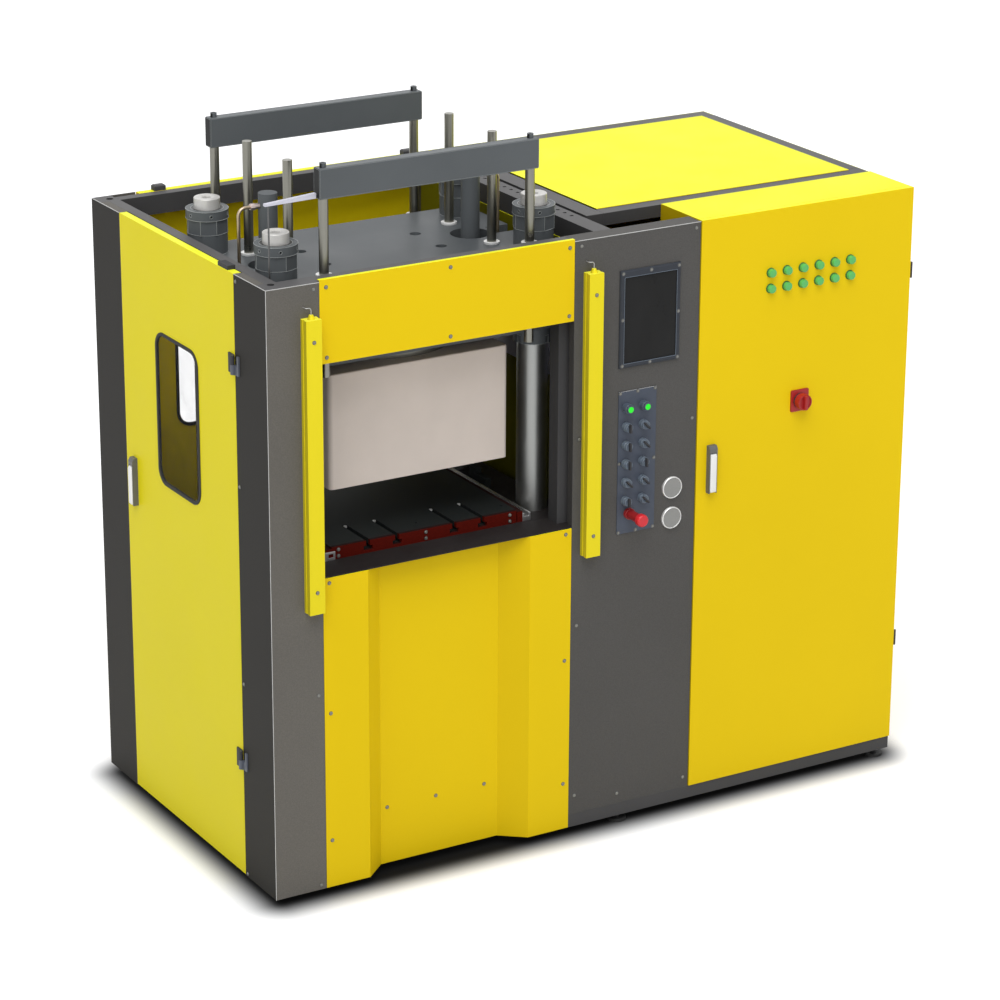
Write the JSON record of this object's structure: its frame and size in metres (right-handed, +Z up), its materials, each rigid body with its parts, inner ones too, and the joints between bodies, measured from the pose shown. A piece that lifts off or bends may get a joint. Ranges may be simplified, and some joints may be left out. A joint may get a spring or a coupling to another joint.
{
  "type": "rubber vulcanizing machine",
  "caption": "Four-column hydraulic rubber vulcanizing press in a yellow and dark sheet-metal enclosure, with guard doors, light curtains, a switch panel and an electrical cabinet.",
  "frame": {"origin": "centre of the machine's box at the height that the feet stand on", "axes": "+Z up, the operator's front faces -Y, and +X runs along the front towards the electrical bay"},
  "size_m": [2.2386, 1.229, 2.187],
  "materials": {
    "yellow_paint": "semi-gloss powder coat",
    "dark_paint": "fine textured powder coat",
    "panel_paint": "fine textured powder coat",
    "press_paint": "semi-gloss enamel",
    "beige_paint": "satin enamel",
    "curtain_paint": "satin powder coat",
    "column_steel": "hard-chromed and ground",
    "rod_chrome": "hard-chromed",
    "cap_steel": "zinc plated",
    "platen_steel": "heat-darkened ground steel",
    "insulation_red": "fibre board",
    "aluminium": "satin anodised",
    "brass": "drawn tube",
    "white_bush": "turned",
    "pale_sheet": "satin",
    "black_rubber": "matt",
    "black_plastic": "moulded",
    "foot_steel": "black oxide",
    "window": "clear sheet",
    "bezel_paint": "satin",
    "screen": "gloss",
    "ring_metal": "satin nickel",
    "screw_metal": "zinc plated",
    "green_lens": "translucent",
    "lamp_green": "ribbed lens",
    "red_plastic": "moulded"
  },
  "bodies": {
    "machine": {"frame": "dark_paint", "unit_frame": "dark_paint", "feet": "foot_steel", "corner_covers": "dark_paint", "control_panel": "panel_paint", "header_panel": "yellow_paint", "lower_panel": "yellow_paint", "bed": "dark_paint", "columns": "column_steel", "column_nuts": "press_paint", "column_caps": "cap_steel", "crosshead": "press_paint", "rod_bushings": "white_bush", "side_cylinders": "press_paint", "cylinder_pipes": "brass", "lower_platen": "platen_steel", "insulation_strips": "insulation_red", "slide_rails": "aluminium", "cover_sheets": "yellow_paint", "partition_insert": "pale_sheet", "rear_guard": "yellow_paint", "rear_fittings": "black_rubber", "rear_pane": "window", "cabinet": "yellow_paint", "control_plates": "bezel_paint", "touch_screen": "screen", "panel_rings": "ring_metal", "light_curtains": "curtain_paint", "curtain_leads": "black_rubber", "sheet_fixings": "screw_metal"},
    "platen": {"apron": "beige_paint", "upper_platen": "platen_steel", "ram_and_rods": "rod_chrome"},
    "front_beam": {"beam_front": "press_paint", "beam_front_rods": "rod_chrome", "sensor_arm": "aluminium"},
    "rear_beam": {"beam_rear": "press_paint", "beam_rear_rods": "rod_chrome"},
    "left_door": {"left_door": "yellow_paint", "left_door_pane": "window", "left_door_fittings": "black_rubber"},
    "left_lever": {"left_door_lever": "rod_chrome"},
    "cabinet_door": {"cabinet_door": "yellow_paint", "cabinet_fittings": "black_plastic", "pilot_lamps": "lamp_green"},
    "cabinet_lever": {"cabinet_lever": "rod_chrome"},
    "main_switch": {"main_switch": "red_plastic"},
    "push_button_1": {"push_button_1": "green_lens"},
    "push_button_2": {"push_button_2": "green_lens"},
    "emergency_stop": {"emergency_stop": "red_plastic"},
    "selector_01": {"selector_01": "black_plastic"},
    "selector_02": {"selector_02": "black_plastic"},
    "selector_03": {"selector_03": "black_plastic"},
    "selector_04": {"selector_04": "black_plastic"},
    "selector_05": {"selector_05": "black_plastic"},
    "selector_06": {"selector_06": "black_plastic"},
    "selector_07": {"selector_07": "black_plastic"},
    "selector_08": {"selector_08": "black_plastic"},
    "selector_09": {"selector_09": "black_plastic"},
    "selector_10": {"selector_10": "black_plastic"}
  },
  "joints": [
    {"name": "platen_slide", "type": "slide", "parent": "machine", "child": "platen", "axis": [0, 0, -1], "range_m": [0, 0.157]},
    {"name": "front_beam_slide", "type": "slide", "parent": "machine", "child": "front_beam", "axis": [0, 0, -1], "range_m": [0, 0.2]},
    {"name": "rear_beam_slide", "type": "slide", "parent": "machine", "child": "rear_beam", "axis": [0, 0, -1], "range_m": [0, 0.2]},
    {"name": "left_door_hinge", "type": "hinge", "parent": "machine", "child": "left_door", "pos_m": [-1.10535, -0.3305, 1.007], "axis": [0, 0, 1], "range_deg": [0, 100]},
    {"name": "left_lever_hinge", "type": "hinge", "parent": "left_door", "child": "left_lever", "pos_m": [-1.11135, 0.3565, 1.1], "axis": [0, 1, 0], "range_deg": [0, 30]},
    {"name": "cabinet_door_hinge", "type": "hinge", "parent": "machine", "child": "cabinet_door", "pos_m": [1.11515, -0.5275, 1.012], "axis": [0, 0, 1], "range_deg": [0, 110]},
    {"name": "cabinet_lever_hinge", "type": "hinge", "parent": "cabinet_door", "child": "cabinet_lever", "pos_m": [0.38865, -0.5445, 1.148], "axis": [-1, 0, 0], "range_deg": [0, 30]},
    {"name": "main_switch_turn", "type": "hinge", "parent": "cabinet_door", "child": "main_switch", "pos_m": [0.70865, -0.5565, 1.267], "axis": [0, -1, 0], "range_deg": [0, 90]},
    {"name": "push_button_1_press", "type": "slide", "parent": "machine", "child": "push_button_1", "axis": [0, 1, 0], "range_m": [0, 0.004], "stiffness_N_per_m": 800, "springref_m": -0.002},
    {"name": "push_button_2_press", "type": "slide", "parent": "machine", "child": "push_button_2", "axis": [0, 1, 0], "range_m": [0, 0.004], "stiffness_N_per_m": 800, "springref_m": -0.002},
    {"name": "selector_01_turn", "type": "hinge", "parent": "machine", "child": "selector_01", "pos_m": [0.08465, -0.5485, 1.2865], "axis": [0, 1, 0], "range_deg": [-45, 45]},
    {"name": "selector_02_turn", "type": "hinge", "parent": "machine", "child": "selector_02", "pos_m": [0.08465, -0.5485, 1.2285], "axis": [0, 1, 0], "range_deg": [-45, 45]},
    {"name": "selector_03_turn", "type": "hinge", "parent": "machine", "child": "selector_03", "pos_m": [0.08465, -0.5485, 1.171], "axis": [0, 1, 0], "range_deg": [-45, 45]},
    {"name": "selector_04_turn", "type": "hinge", "parent": "machine", "child": "selector_04", "pos_m": [0.08465, -0.5485, 1.113], "axis": [0, 1, 0], "range_deg": [0, 90]},
    {"name": "selector_05_turn", "type": "hinge", "parent": "machine", "child": "selector_05", "pos_m": [0.08465, -0.5485, 1.0545], "axis": [0, 1, 0], "range_deg": [-45, 45]},
    {"name": "selector_06_turn", "type": "hinge", "parent": "machine", "child": "selector_06", "pos_m": [0.14365, -0.5485, 1.2865], "axis": [0, 1, 0], "range_deg": [0, 90]},
    {"name": "selector_07_turn", "type": "hinge", "parent": "machine", "child": "selector_07", "pos_m": [0.14365, -0.5485, 1.2285], "axis": [0, 1, 0], "range_deg": [0, 90]},
    {"name": "selector_08_turn", "type": "hinge", "parent": "machine", "child": "selector_08", "pos_m": [0.14365, -0.5485, 1.171], "axis": [0, 1, 0], "range_deg": [-45, 45]},
    {"name": "selector_09_turn", "type": "hinge", "parent": "machine", "child": "selector_09", "pos_m": [0.14365, -0.5485, 1.113], "axis": [0, 1, 0], "range_deg": [0, 90]},
    {"name": "selector_10_turn", "type": "hinge", "parent": "machine", "child": "selector_10", "pos_m": [0.14365, -0.5485, 1.0545], "axis": [0, 1, 0], "range_deg": [0, 90]},
    {"name": "emergency_stop_press", "type": "slide", "parent": "machine", "child": "emergency_stop", "axis": [0, 1, 0], "range_m": [0, 0.005]}
  ]
}
